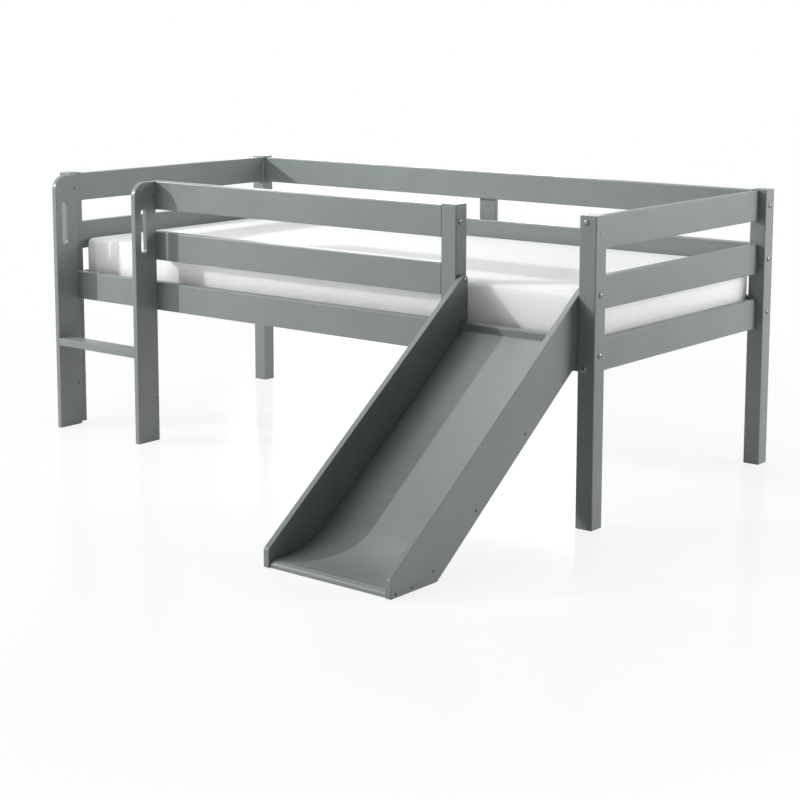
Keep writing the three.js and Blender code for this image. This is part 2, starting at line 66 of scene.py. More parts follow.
# Where the slide's screws sit: two up the straight run at distances from the bend, two round the
# bend at angles from its lowest point, and one in the nose at a distance from its front
SCREWS_UP = (0.3833, 0.1234)
SCREWS_ROUND = (0.375, 0.092)
SCREW_IN_NOSE = 0.0145


def linear(code):
    """An sRGB hex colour as three linear values.

    A value v becomes v / 12.92 up to 0.04045, and above it ((v + 0.055) / 1.055) to the power 2.4.
    """
    values = np.array([int(code[n : n + 2], 16) for n in (0, 2, 4)]) / 255
    return tuple(np.where(values <= 0.04045, values / 12.92, ((values + 0.055) / 1.055) ** 2.4))


def length(name, description, default):
    """A length that a user can change."""
    return bpy.props.FloatProperty(
        name=name,
        description=description,
        default=default,
        min=0.0,
        subtype="DISTANCE",
        unit="LENGTH",
        precision=4,
    )


def colour(name, description, code):
    """A colour that a user can change."""
    return bpy.props.FloatVectorProperty(
        name=name,
        description=description,
        default=linear(code),
        min=0.0,
        max=1.0,
        subtype="COLOR",
    )


def place(name, description, default):
    """A point in the frame that a user can move."""
    return bpy.props.FloatVectorProperty(
        name=name, description=description, default=default, subtype="TRANSLATION", unit="LENGTH"
    )


def power(name, description, default):
    """The power of a lamp."""
    return bpy.props.FloatProperty(
        name=name, description=description, default=default, min=0.0, subtype="POWER", unit="POWER"
    )


class LoftBedFinishes(bpy.types.PropertyGroup):
    """Colours of the bed's finishes"""

    lacquer: colour("Lacquer", "Satin lacquer on the posts, rails, ladder and slide", "7e8584")
    early_wood: colour("Pale wood", "Wide pale growth rings of the bare slats", "e8d0a8")
    late_wood: colour("Dark wood", "Narrow dark growth rings of the bare slats", "cba570")
    bolt: colour("Bolts", "Plated steel of the bolts", "767b7c")
    # The screws' colour is darker than their steel: painted shade of the countersinks that they sit
    # in.
    screw: colour("Screws", "Blackened steel of the slide's screws", "43474a")
    cap: colour("Cap", "Moulded cap in the unused bolt hole", "9a9f9e")
    cover: colour("Mattress cover", "Knitted cover of the mattress", "f9f9fb")


class LoftBedSizes(bpy.types.PropertyGroup):
    """Sizes of the pieces made here"""

    rim: length("Rim", "Rounding of the rims of the slide boards", 0.002)
    fine_rim: length("Fine rim", "Rounding of the rims of the sliding surface", 0.0008)
    slide_thick: length("Surface thickness", "Thickness of the sliding surface", 0.018)
    slide_bend: length("Bend", "Radius of the bend at the slide's foot", 0.3)
    slide_level: length("Level run", "Level length beyond the bend", 0.014)
    board_wide: length("Board width", "Width of the slide's side boards", 0.145)
    board_tip: length("Board tip", "Radius of the slide boards' upper tips", 0.014)
    board_corner: length("Board corner", "Easing of the corners at the slide boards' feet", 0.007)
    board_heel: length("Board heel", "Level length under the slide boards' upper ends", 0.03)
    nose_round: length("Nose", "Rounding of the slide's foot", 0.014)
    joint_edge: length("Joint edge", "Easing of the edges where nose and surface meet", 0.0014)
    head_radius: length("Bolt head", "Radius of the bolt heads", 0.008)
    head_high: length("Bolt head height", "Height of the bolt heads", 0.0034)
    shank_radius: length("Bolt shank", "Radius of the bolt shanks", 0.003)
    socket: length("Hex socket", "Half the width across the flats of the bolts' sockets", 0.002)
    screw_radius: length("Screw head", "Radius of the slide's screw heads", 0.0042)
    soft_edge: length("Soft edge", "Rounding of the mattress's upper edge", 0.014)
    soft_corner: length("Soft corner", "Rounding of the mattress's corners in plan", 0.03)
    crown: length("Crown", "How much higher the mattress is in its middle", 0.003)
    drawn_in: length("Drawn in", "How far its sides pull in between the corners", 0.003)
    swell: length("Swell", "How far the cover moves out as it fills", 0.004)
    edge_zone: length("Edge zone", "How far from its edges the cover is drawn tight", 0.022)
    cloth_step: length("Cloth step", "Size of the faces that the cover is simulated with", 0.014)
    knit: length("Knit", "Width of a row of loops as it is drawn on the cover", 0.005)
    seam: length("Seam", "Height of the seam above the mattress's underside", 0.03)
    tuck: length("Tuck", "How far the seam draws the sides in", 0.004)
    tuck_reach: length("Tuck reach", "How far above and below the seam its pull reaches", 0.014)


class LoftBedStage(bpy.types.PropertyGroup):
    """Camera, lamps and floor"""

    camera: place("Camera", "Where the camera stands", (3.573186, -4.051225, 1.356137))
    heading: bpy.props.FloatProperty(
        name="Heading",
        description="Turn of the view to the left of straight ahead",
        default=radians(39.443),
        subtype="ANGLE",
    )
    tilt: bpy.props.FloatProperty(
        name="Tilt",
        description="How far the camera looks down",
        default=radians(8.335),
        subtype="ANGLE",
    )
    lens: bpy.props.FloatProperty(
        name="Lens",
        description="Focal length on a sensor 36 mm wide",
        default=81.499,
        min=1.0,
        subtype="DISTANCE_CAMERA",
    )
    shift: bpy.props.FloatVectorProperty(
        name="Shift",
        description="Shift of the lens as a share of the picture's width",
        default=(0.025, -0.15),
        size=2,
    )
    key: power("Key lamp", "Small round lamp far off at the front left", 350.0)
    key_place: place("Key place", "Where the key lamp stands", (-4.997, -4.21, 2.95))
    front: power("Front lamp", "Large soft lamp at the front left", 52.0)
    front_place: place("Front place", "Where the front lamp stands", (-2.2, -4.3, 1.4))
    side: power("Side lamp", "Large soft lamp at the right, behind the bed", 110.0)
    side_place: place("Side place", "Where the side lamp stands", (3.6, 2.5, 1.45))
    top: power("Top lamp", "Large soft lamp overhead", 70.0)
    top_place: place("Top place", "Where the top lamp hangs", (-0.3, -0.1, 3.6))
    back: power("Back lamp", "Large soft lamp behind the bed", 60.0)
    back_place: place("Back place", "Where the back lamp stands", (-3.0, 4.2, 1.5))
    ambient: bpy.props.FloatProperty(
        name="Ambient",
        description="Strength of the light from all around",
        default=0.02,
        min=0.0,
    )
    floor: colour("Floor", "Pale floor", "f4f4f4")
    floor_glow: bpy.props.FloatProperty(
        name="Floor white",
        description="Share of plain white that the camera sees in the floor",
        default=0.84,
        min=0.0,
        max=1.0,
        subtype="FACTOR",
    )


def settings(name):
    """One of the three groups of settings on the scene."""
    return getattr(bpy.context.scene, name)


def box_of(name):
    """Lowest and highest corner of a frame node as arrays."""
    low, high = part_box(name)
    return np.array(low), np.array(high)


# Meshes


def closed_mesh(name, grid, coating, sharp=radians(32)):
    """A closed mesh from a grid of points whose columns run round and meet.

    Corner (r, c) of the grid is number r * columns + c. Each quad joins (r, c), (r, c + 1),
    (r + 1, c + 1) and (r + 1, c), and one flat face closes the first row and one the last. The
    signed volume is a sixth of the sum of a . (b x c) over the triangles: where it is below
    nothing, the faces point inwards and are turned round.
    """
    rows, columns = grid.shape[:2]
    corners = grid.reshape(-1, 3)
    row = np.arange(rows - 1)[:, None] * columns
    column = np.arange(columns)[None, :]
    after = (column + 1) % columns
    quads = np.stack([row + column, row + after, row + columns + after, row + columns + column], -1)
    faces = quads.reshape(-1, 4).tolist()
    faces.append(np.arange(columns)[::-1].tolist())
    faces.append((np.arange(columns) + (rows - 1) * columns).tolist())
    flat = quads.reshape(-1, 4)
    fans = [np.stack([np.full(columns - 2, f[0]), f[1:-1], f[2:]], -1) for f in faces[-2:]]
    triangles = np.concatenate([flat[:, [0, 1, 2]], flat[:, [0, 2, 3]], *fans])
    a, b, c = (corners[triangles[:, n]] for n in range(3))
    if np.einsum("ij,ij->", a, np.cross(b, c)) < 0:
        faces = [face[::-1] for face in faces]
    mesh = bpy.data.meshes.new(name)
    mesh.from_pydata(corners, [], faces)
    return dressed(name, mesh, coating, sharp)


def dressed(name, mesh, coating, sharp):
    """An object of a mesh, smooth but for edges that turn by more than sharp."""
    mesh.polygons.foreach_set("use_smooth", np.ones(len(mesh.polygons), bool))
    mesh.set_sharp_from_angle(angle=sharp)
    mesh.materials.append(coating)
    piece = bpy.data.objects.new(name, mesh)
    bpy.context.collection.objects.link(piece)
    flatter = piece.modifiers.new("even_normals", "WEIGHTED_NORMAL")
    flatter.keep_sharp = True
    return piece


def belongs(piece, body, slot, *stands_for):
    """Ties a piece to its body and hides the nodes that it stands for; the slot is not used."""
    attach(piece, body)
    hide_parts(*stands_for)
    return piece


def painted(coatings):
    """Gives the frame's own pieces the material that goes with the start of their name."""
    for name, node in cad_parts.items():
        for start, coating in coatings.items():
            if name.startswith(start):
                node.data.materials.clear()
                node.data.materials.append(coating)


def points_of(mesh):
    """The points of a mesh, a row each."""
    flat = np.empty(len(mesh.vertices) * 3, np.float32)
    mesh.vertices.foreach_get("co", flat)
    return flat.reshape(-1, 3).astype(float)


def arc(middle, radius, start, end, steps):
    """Points (my + r cos t, mz + r sin t) for t from start to end."""
    turn = np.linspace(start, end, steps + 1)
    return np.stack([middle[0] + radius * np.cos(turn), middle[1] + radius * np.sin(turn)], -1)


def eased(before, corner, after, by):
    """A corner taken off by the parabola (1 - u)^2 A + 2 u (1 - u) C + u^2 B.

    C is the corner, and A and B lie by away from it, towards the points before and after.
    """
    before, corner, after = (np.array(point, float) for point in (before, corner, after))
    start = corner + by * (before - corner) / np.linalg.norm(before - corner)
    end = corner + by * (after - corner) / np.linalg.norm(after - corner)
    share = np.linspace(0, 1, 7)[:, None]
    return (1 - share) ** 2 * start + 2 * share * (1 - share) * corner + share**2 * end


def inset(outline, by):
    """The outline moved inwards by a distance.

    With n1 and n2 the inward normals of the two sides that meet at a corner, the corner moves by
    by * (n1 + n2) / (1 + n1 . n2). The outline runs anticlockwise.
    """
    ahead = np.roll(outline, -1, 0) - outline
    ahead /= np.linalg.norm(ahead, axis=1, keepdims=True)
    normal = np.stack([-ahead[:, 1], ahead[:, 0]], -1)
    other = np.roll(normal, 1, 0)
    along = 1 + np.einsum("ij,ij->i", normal, other)
    return outline + by * (normal + other) / along[:, None]


def board(name, outline, low_x, high_x, rim, coating, steps=4):
    """A board in the YZ plane: its outline carried from low_x to high_x.

    The outline is inset by rim * (1 - sin t) while x goes in by rim * (1 - cos t), t from 0 to a
    quarter turn, so that both rims are quarter rounds.
    """
    turn = np.linspace(0, pi / 2, steps + 1)
    insets = rim * (1 - np.sin(turn))
    depths = rim * (1 - np.cos(turn))
    insets = np.concatenate([insets, insets[::-1]])
    xs = np.concatenate([low_x + depths, high_x - depths[::-1]])
    rings = np.stack([inset(outline, by) for by in insets])
    along = np.broadcast_to(xs[:, None, None], rings.shape[:2] + (1,))
    grid = np.concatenate([along, rings], -1)
    return closed_mesh(name, grid, coating)


def turned(profile, lobes, steps):
    """A turned form about Z: radius and height along the profile, carried round the axis.

    lobes[r] shapes row r: 1 for a circle, or a function of the angle that the radius is
    multiplied by, such as a hexagon's 1 / cos of the angle from the middle of its side.
    """
    turn = np.arange(steps) * 2 * pi / steps
    reach = profile[:, :1] * np.stack([np.broadcast_to(lobe(turn), turn.shape) for lobe in lobes])
    height = np.broadcast_to(profile[:, 1:], reach.shape)
    return np.stack([reach * np.cos(turn), reach * np.sin(turn), height], -1)


def circle(turn):
    """A circle: the radius is the same all round."""
    return np.ones_like(turn)


def hexagon(turn):
    """A hexagon of unit half width: 1 / cos of the angle from the middle of the nearest side."""
    side = pi / 3
    return 1 / np.cos((turn + side / 2) % side - side / 2)


def cross(turn):
    """A cross recess: four lobes, 0.45 + 0.55 |cos 2t| to the power 5."""
    return 0.45 + 0.55 * np.abs(np.cos(2 * turn)) ** 5


def pointed(grid, axis, seat):
    """Turns a form about Z so that Z points along an axis and its origin is at the seat."""
    turn = Vector(axis).to_track_quat("Z", "Y").to_matrix()
    return grid @ np.array(turn).T + np.array(seat)


def rounded_plan(long, wide, radius, count):
    """Points spaced evenly round a rectangle with rounded corners, centred on the origin."""
    half = np.array([long, wide]) / 2 - radius
    middles = half * np.array([[1, 1], [-1, 1], [-1, -1], [1, -1]])
    arcs = [arc(middles[n], radius, n * pi / 2, (n + 1) * pi / 2, 10) for n in range(4)]
    path = np.concatenate(arcs + [arcs[0][:1]])
    run = np.concatenate([[0], np.cumsum(np.linalg.norm(np.diff(path, axis=0), axis=1))])
    at = np.arange(count) * run[-1] / count
    return np.stack([np.interp(at, run, path[:, 0]), np.interp(at, run, path[:, 1])], -1)


# Materials


def add(tree, kind, sockets=None, **options):
    """Adds a node with its options, and sets or links each socket that is named."""
    node = tree.nodes.new(kind)
    for option, value in options.items():
        setattr(node, option, value)
    for socket, value in (sockets or {}).items():
        if isinstance(value, bpy.types.NodeSocket):
            tree.links.new(value, node.inputs[socket])
        else:
            node.inputs[socket].default_value = value
    return node


def material(name):
    """An empty material, its node tree and its object coordinates."""
    made = bpy.data.materials.new(name)
    made.use_nodes = True
    tree = made.node_tree
    tree.nodes.clear()
    return made, tree, add(tree, "ShaderNodeTexCoord").outputs["Object"]


def finish(tree, shader):
    """Links a shader to the output."""
    add(tree, "ShaderNodeOutputMaterial", {"Surface": shader.outputs[0]})


def opaque(rgb, factor=1.0):
    """A colour, made lighter or darker by a factor, with alpha."""
    return (*(min(1.0, value * factor) for value in rgb), 1.0)


def satin_lacquer(name, grain, slope=0.0):
    """Grey satin lacquer sprayed on sanded pine.

    It gives an even colour with a soft sheen, broken by the faint rise of the grain under it
    (4 mm across), by the lacquer's own orange peel (3 mm) and by slow changes of its gloss.
    grain is the size of the grain's features along X, Y and Z, and slope turns it about X.
    """
    look = settings("loft_bed_finishes")
    made, tree, spot = material(name)
    laid = add(
        tree,
        "ShaderNodeMapping",
        {"Vector": spot, "Rotation": (slope, 0, 0), "Scale": grain},
        vector_type="TEXTURE",
    )
    fibres = add(
        tree,
        "ShaderNodeTexNoise",
        {"Vector": laid.outputs[0], "Scale": 1.0, "Detail": 4.0, "Roughness": 0.6},
    )
    clouds = add(tree, "ShaderNodeTexNoise", {"Vector": spot, "Scale": 6.0, "Detail": 3.0})
    peel = add(tree, "ShaderNodeTexNoise", {"Vector": spot, "Scale": 1 / 0.003, "Detail": 1.0})
    tone = add(
        tree,
        "ShaderNodeMapRange",
        {"Value": clouds.outputs[0], "From Min": 0.3, "From Max": 0.7},
    )
    even = add(
        tree,
        "ShaderNodeMix",
        {0: tone.outputs[0], 6: opaque(look.lacquer, 0.96), 7: opaque(look.lacquer, 1.03)},
        data_type="RGBA",
    )
    streaks = add(
        tree,
        "ShaderNodeMapRange",
        {"Value": fibres.outputs[0], "From Min": 0.35, "From Max": 0.75, "To Max": 0.35},
    )
    paint = add(
        tree,
        "ShaderNodeMix",
        {0: streaks.outputs[0], 6: even.outputs[2], 7: opaque(look.lacquer, 0.9)},
        data_type="RGBA",
    )
    gloss = add(
        tree,
        "ShaderNodeMapRange",
        {
            "Value": clouds.outputs[0],
            "From Min": 0.3,
            "From Max": 0.7,
            "To Min": 0.3,
            "To Max": 0.38,
        },
    )
    raised = add(
        tree,
        "ShaderNodeBump",
        {"Height": fibres.outputs[0], "Strength": 0.25, "Distance": 0.0004},
    )
    skin = add(
        tree,
        "ShaderNodeBump",
        {
            "Height": peel.outputs[0],
            "Strength": 0.12,
            "Distance": 0.0002,
            "Normal": raised.outputs[0],
        },
    )
    shader = add(
        tree,
        "ShaderNodeBsdfPrincipled",
        {
            "Base Color": paint.outputs[2],
            "Roughness": gloss.outputs[0],
            "IOR": 1.5,
            "Specular IOR Level": 0.35,
            "Normal": skin.outputs[0],
        },
    )
    finish(tree, shader)
    return made


def planed_pine(name, grain):
    """Bare planed pine, as it leaves the saw mill: pale wood with darker rings and small knots.

    The rings are drawn 12 mm apart and the fibres 2 mm, both stretched along the grain. Planed
    and unsealed, it is nearly matt.
    """
    look = settings("loft_bed_finishes")
    made, tree, spot = material(name)
    laid = add(
        tree, "ShaderNodeMapping", {"Vector": spot, "Scale": grain}, vector_type="TEXTURE"
    )
    rings = add(
        tree,
        "ShaderNodeTexNoise",
        {"Vector": laid.outputs[0], "Scale": 1.0, "Detail": 2.0, "Distortion": 0.6},
    )
    fibres = add(
        tree,
        "ShaderNodeTexNoise",
        {"Vector": laid.outputs[0], "Scale": 6.0, "Detail": 3.0, "Roughness": 0.7},
    )
    knots = add(
        tree,
        "ShaderNodeTexVoronoi",
        {"Vector": spot, "Scale": 1 / 0.16, "Randomness": 1.0},
    )
    bands = add(
        tree,
        "ShaderNodeMapRange",
        {"Value": rings.outputs[0], "From Min": 0.4, "From Max": 0.66, "To Max": 0.8},
    )
    wood = add(
        tree,
        "ShaderNodeMix",
        {0: bands.outputs[0], 6: opaque(look.early_wood), 7: opaque(look.late_wood)},
        data_type="RGBA",
    )
    dark = add(
        tree,
        "ShaderNodeMapRange",
        {
            "Value": knots.outputs["Distance"],
            "From Min": 0.05,
            "From Max": 0.1,
            "To Min": 0.85,
            "To Max": 0.0,
        },
    )
    knotted = add(
        tree,
        "ShaderNodeMix",
        {0: dark.outputs[0], 6: wood.outputs[2], 7: opaque(look.late_wood, 0.35)},
        data_type="RGBA",
    )
    dull = add(
        tree,
        "ShaderNodeMapRange",
        {"Value": fibres.outputs[0], "To Min": 0.6, "To Max": 0.8},
    )
    raised = add(
        tree,
        "ShaderNodeBump",
        {"Height": fibres.outputs[0], "Strength": 0.35, "Distance": 0.0005},
    )
    shader = add(
        tree,
        "ShaderNodeBsdfPrincipled",
        {
            "Base Color": knotted.outputs[2],
            "Roughness": dull.outputs[0],
            "IOR": 1.5,
            "Normal": raised.outputs[0],
        },
    )
    finish(tree, shader)
    return made


def plated_steel(name, rgb):
    """Turned plated steel: a dark metal with a soft highlight and a fine grain. For the screws its
    colour is darker, as painted shade of their countersinks.

    The grain of the plating is drawn at half a millimetre, so that it shows on a 16 mm head.
    """
    made, tree, spot = material(name)
    grit = add(tree, "ShaderNodeTexNoise", {"Vector": spot, "Scale": 1 / 0.0005, "Detail": 2.0})
    stain = add(tree, "ShaderNodeTexNoise", {"Vector": spot, "Scale": 1 / 0.006, "Detail": 2.0})
    tone = add(
        tree,
        "ShaderNodeMix",
        {0: stain.outputs[0], 6: opaque(rgb, 0.8), 7: opaque(rgb, 1.15)},
        data_type="RGBA",
    )
    gloss = add(
        tree,
        "ShaderNodeMapRange",
        {"Value": grit.outputs[0], "To Min": 0.24, "To Max": 0.4},
    )
    bumps = add(
        tree,
        "ShaderNodeBump",
        {"Height": grit.outputs[0], "Strength": 0.2, "Distance": 0.0001},
    )
    shader = add(
        tree,
        "ShaderNodeBsdfPrincipled",
        {
            "Base Color": tone.outputs[2],
            "Metallic": 0.85,
            "Roughness": gloss.outputs[0],
            "Normal": bumps.outputs[0],
        },
    )
    finish(tree, shader)
    return made


def moulded_plastic(name):
    """Moulded polyethylene: matt grey with the fine spark-eroded texture of its mould."""
    look = settings("loft_bed_finishes")
    made, tree, spot = material(name)
    grain = add(tree, "ShaderNodeTexNoise", {"Vector": spot, "Scale": 1 / 0.0006, "Detail": 2.0})
    tone = add(
        tree,
        "ShaderNodeMix",
        {0: grain.outputs[0], 6: opaque(look.cap, 0.94), 7: opaque(look.cap, 1.04)},
        data_type="RGBA",
    )
    gloss = add(
        tree,
        "ShaderNodeMapRange",
        {"Value": grain.outputs[0], "To Min": 0.4, "To Max": 0.56},
    )
    bumps = add(
        tree,
        "ShaderNodeBump",
        {"Height": grain.outputs[0], "Strength": 0.15, "Distance": 0.0001},
    )
    shader = add(
        tree,
        "ShaderNodeBsdfPrincipled",
        {
            "Base Color": tone.outputs[2],
            "Roughness": gloss.outputs[0],
            "IOR": 1.51,
            "Normal": bumps.outputs[0],
        },
    )
    finish(tree, shader)
    return made


def knitted_cover(name, height):
    """White knitted polyester cover over foam: matt, with a soft sheen at glancing angles.

    Light spreads about 150 mm under the surface, through the thin knit and the white foam, so
    that its shadows stay pale. Its loops are about 1.5 mm wide. They are drawn at the knit size
    instead, which is the finest that shows. A seam runs round it where the cloth is drawn in.
    """
    look = settings("loft_bed_finishes")
    sizes = settings("loft_bed_sizes")
    made, tree, spot = material(name)
    axes = add(tree, "ShaderNodeSeparateXYZ", {"Vector": spot})
    waves = []
    for axis in range(3):
        turns = add(
            tree,
            "ShaderNodeMath",
            {0: axes.outputs[axis], 1: 2 * pi / sizes.knit},
            operation="MULTIPLY",
        )
        waves.append(add(tree, "ShaderNodeMath", {0: turns.outputs[0]}, operation="SINE"))
    pair = add(
        tree, "ShaderNodeMath", {0: waves[0].outputs[0], 1: waves[1].outputs[0]}, operation="ADD"
    )
    loops = add(
        tree, "ShaderNodeMath", {0: pair.outputs[0], 1: waves[2].outputs[0]}, operation="ADD"
    )
    folds = add(
        tree,
        "ShaderNodeTexNoise",
        {"Vector": spot, "Scale": 1 / 0.12, "Detail": 2.0, "Distortion": 0.5},
    )
    away = add(tree, "ShaderNodeMath", {0: axes.outputs[2], 1: height}, operation="SUBTRACT")
    size = add(tree, "ShaderNodeMath", {0: away.outputs[0]}, operation="ABSOLUTE")
    seam = add(
        tree,
        "ShaderNodeMapRange",
        {
            "Value": size.outputs[0],
            "From Min": 0.0008,
            "From Max": 0.0022,
            "To Min": 1.0,
            "To Max": 0.0,
        },
    )
    tone = add(
        tree,
        "ShaderNodeMapRange",
        {
            "Value": loops.outputs[0],
            "From Min": -2.0,
            "From Max": 2.0,
            "To Min": 1.0,
            "To Max": 0.0,
        },
    )
    yarn = add(
        tree,
        "ShaderNodeMix",
        {0: tone.outputs[0], 6: opaque(look.cover), 7: opaque(look.cover, 0.95)},
        data_type="RGBA",
    )
    sewn = add(
        tree,
        "ShaderNodeMix",
        {0: seam.outputs[0], 6: yarn.outputs[2], 7: opaque(look.cover, 0.7)},
        data_type="RGBA",
    )
    slow = add(
        tree,
        "ShaderNodeBump",
        {"Height": folds.outputs[0], "Strength": 0.3, "Distance": 0.002},
    )
    fine = add(
        tree,
        "ShaderNodeBump",
        {
            "Height": loops.outputs[0],
            "Strength": 0.25,
            "Distance": 0.0004,
            "Normal": slow.outputs[0],
        },
    )
    gutter = add(
        tree,
        "ShaderNodeBump",
        {
            "Height": seam.outputs[0],
            "Strength": 0.8,
            "Distance": 0.0015,
            "Normal": fine.outputs[0],
        },
        invert=True,
    )
    shader = add(
        tree,
        "ShaderNodeBsdfPrincipled",
        {
            "Base Color": sewn.outputs[2],
            "Roughness": 0.92,
            "Subsurface Weight": 0.7,
            "Subsurface Radius": (1.0, 1.0, 1.0),
            "Subsurface Scale": 0.15,
            "Sheen Weight": 0.3,
            "Sheen Roughness": 0.5,
            "Normal": gutter.outputs[0],
        },
    )
    finish(tree, shader)
    return made


def seen_directly(tree):
    """1 for rays from the camera, a reflection or through glass, and 0 for light."""
    path = add(tree, "ShaderNodeLightPath")
    either = add(
        tree,
        "ShaderNodeMath",
        {0: path.outputs["Is Camera Ray"], 1: path.outputs["Is Glossy Ray"]},
        operation="MAXIMUM",
    )
    return add(
        tree,
        "ShaderNodeMath",
        {0: either.outputs[0], 1: path.outputs["Is Transmission Ray"]},
        operation="MAXIMUM",
    )


def studio_floor(name):
    """A pale glossy laminate floor that runs out into plain white.

    Near the bed it is shaded and keeps its shadows and reflections. From 1.3 to 3.2 m out, the
    white that the camera sees takes over, so that no horizon shows.
    """
    stage = settings("loft_bed_stage")
    made, tree, spot = material(name)
    wear = add(tree, "ShaderNodeTexNoise", {"Vector": spot, "Scale": 3.0, "Detail": 2.0})
    gloss = add(
        tree,
        "ShaderNodeMapRange",
        {"Value": wear.outputs[0], "To Min": 0.12, "To Max": 0.2},
    )
    laid = add(
        tree,
        "ShaderNodeBsdfPrincipled",
        {"Base Color": opaque(stage.floor), "Roughness": gloss.outputs[0], "IOR": 1.45},
    )
    white = add(tree, "ShaderNodeEmission", {"Color": (1, 1, 1, 1), "Strength": 1.0})
    away = add(tree, "ShaderNodeVectorMath", {0: spot}, operation="LENGTH")
    share = add(
        tree,
        "ShaderNodeMapRange",
        {
            "Value": away.outputs["Value"],
            "From Min": 1.3,
            "From Max": 3.2,
            "To Min": stage.floor_glow,
            "To Max": 1.0,
        },
        interpolation_type="SMOOTHSTEP",
    )
    shown = add(
        tree,
        "ShaderNodeMath",
        {0: share.outputs[0], 1: seen_directly(tree).outputs[0]},
        operation="MULTIPLY",
    )
    finish(
        tree,
        add(
            tree,
            "ShaderNodeMixShader",
            {0: shown.outputs[0], 1: laid.outputs[0], 2: white.outputs[0]},
        ),
    )
    return made


# Pieces


def slide_lines():
    """The slide's slope, its bend and the height of its surface, from the frame and the sizes.

    The surface's upper line passes through P, the upper front corner of its top end, and touches
    the bend's circle of radius R about C. With D the distance from C to P and b the angle of that
    line, its slope is b + asin(R / D).
    """
    sizes = settings("loft_bed_sizes")
    low, high = box_of("slide_surface")
    bend = np.array([low[1] + sizes.slide_level, low[2] + sizes.slide_thick + sizes.slide_bend])
    top = np.array([high[1], high[2]])
    reach = top - bend
    slope = np.arctan2(reach[1], reach[0]) + np.arcsin(sizes.slide_bend / np.hypot(*reach))
    return float(slope), bend, top


def surface_outline():
    """The sliding surface seen from the side: level at its foot, bent, then straight to the rail."""
    sizes = settings("loft_bed_sizes")
    slope, bend, top = slide_lines()
    low, _ = box_of("slide_surface")
    thick = sizes.slide_thick
    joint = (low[1], low[2] + thick)
    under = top - [0, thick / cos(slope)]
    return np.concatenate(
        [
            [[low[1], low[2]]],
            arc(bend, sizes.slide_bend + thick, -pi / 2, slope - pi / 2, BEND_STEPS),
            [under],
            [top],
            arc(bend, sizes.slide_bend, slope - pi / 2, -pi / 2, BEND_STEPS),
            eased((bend[0], joint[1]), joint, (low[1], low[2]), sizes.joint_edge),
        ]
    )


def side_board_outline():
    """A slide board seen from the side: rounded tip, straight top, square foot, notch at the rail."""
    sizes = settings("loft_bed_sizes")
    slope, _, _ = slide_lines()
    low, high = box_of("slide_board_left")
    rail_low, rail_high = box_of("front_rail_low")
    tip = np.array([high[1], high[2]]) - sizes.board_tip
    front = rail_low[1] - FIT
    heel = front - sizes.board_heel
    rise = tan(slope)
    top_line = tip[1] + sizes.board_tip / cos(slope) - rise * tip[0]
    under_line = top_line - sizes.board_wide / cos(slope)
    heel_high = under_line + rise * heel
    toe = (low[1], 0)
    knee = (-under_line / rise, 0)
    end = (low[1], top_line + rise * low[1])
    return np.concatenate(
        [
            eased(end, toe, knee, 0.5 * sizes.board_corner),
            eased(toe, knee, (heel, heel_high), 0.5 * sizes.board_corner),
            [[heel, heel_high]],
            [[front, heel_high]],
            [[front, rail_high[2] + FIT]],
            [[high[1], rail_high[2] + FIT]],
            arc(tip, sizes.board_tip, 0, pi / 2 + slope, 20),
            eased(tip, end, toe, sizes.board_corner),
        ]
    )


def nose_outline():
    """The rounded nose seen from the side, its upper back edge eased where it meets the surface."""
    sizes = settings("loft_bed_sizes")
    radius = sizes.nose_round
    low, high = box_of("slide_nose")
    under = (high[1], low[2])
    front = arc((low[1] + radius, high[2] - radius), radius, pi / 2, pi, 16)
    back = eased(under, (high[1], high[2]), (low[1], high[2]), sizes.joint_edge)
    return np.concatenate([[[low[1], low[2]]], [under], back, front])


def bolt_profile(sizes, shank):
    """Radius and height along a bolt, from its tip to the floor of its socket, and each row's form.

    The head's crown is a quarter ellipse: radius s + (h - s) cos t and height r + (H - r) sin t,
    with s and H at the socket's lip, and h and r at the rim.
    """
    head = sizes.head_radius
    under = head - 0.0004
    rim = 0.25 * sizes.head_high
    lip = 1.25 * sizes.socket
    lip_deep = 0.0003
    turn = np.linspace(0, pi / 2, 9)
    crown = np.stack(
        [lip + (head - lip) * np.cos(turn), rim + (sizes.head_high - rim) * np.sin(turn)], -1
    )
    thin = sizes.shank_radius
    tip = 0.8 * thin
    start = [[tip, -shank], [thin, thin - tip - shank], [thin, 0], [under, 0]]
    end = [
        [sizes.socket, sizes.head_high - lip_deep],
        [sizes.socket, 0.4 * sizes.head_high],
    ]
    profile = np.concatenate([start, crown, end])
    lobes = [circle] * (len(start) + len(crown)) + [hexagon] * len(end)
    return profile, lobes


def screw_profile(sizes):
    """Radius and height along a raised countersunk screw, and each row's form.

    It runs from the end of the shank over the cone, the rim and the low crown into the cross
    recess, which is 0.7 mm deep.
    """
    head = sizes.screw_radius
    shares = np.array([0.35, 0.35, 1, 1, 0.85, 0.6, 0.55, 0.4])
    heights = [-0.008, -0.6 * head, -0.0001, 0.0002, 0.0006, 0.0009, 0.0008, 0.0002]
    return np.stack([shares * head, heights], -1), [circle] * 6 + [cross] * 2


def bolt_axis(name):
    """The way a bolt's head faces."""
    if name.startswith("end_bolt"):
        return (0, -1, 0) if name.split("_")[3] == "front" else (0, 1, 0)
    return (-1, 0, 0) if name.startswith("side_bolt_left") else (1, 0, 0)


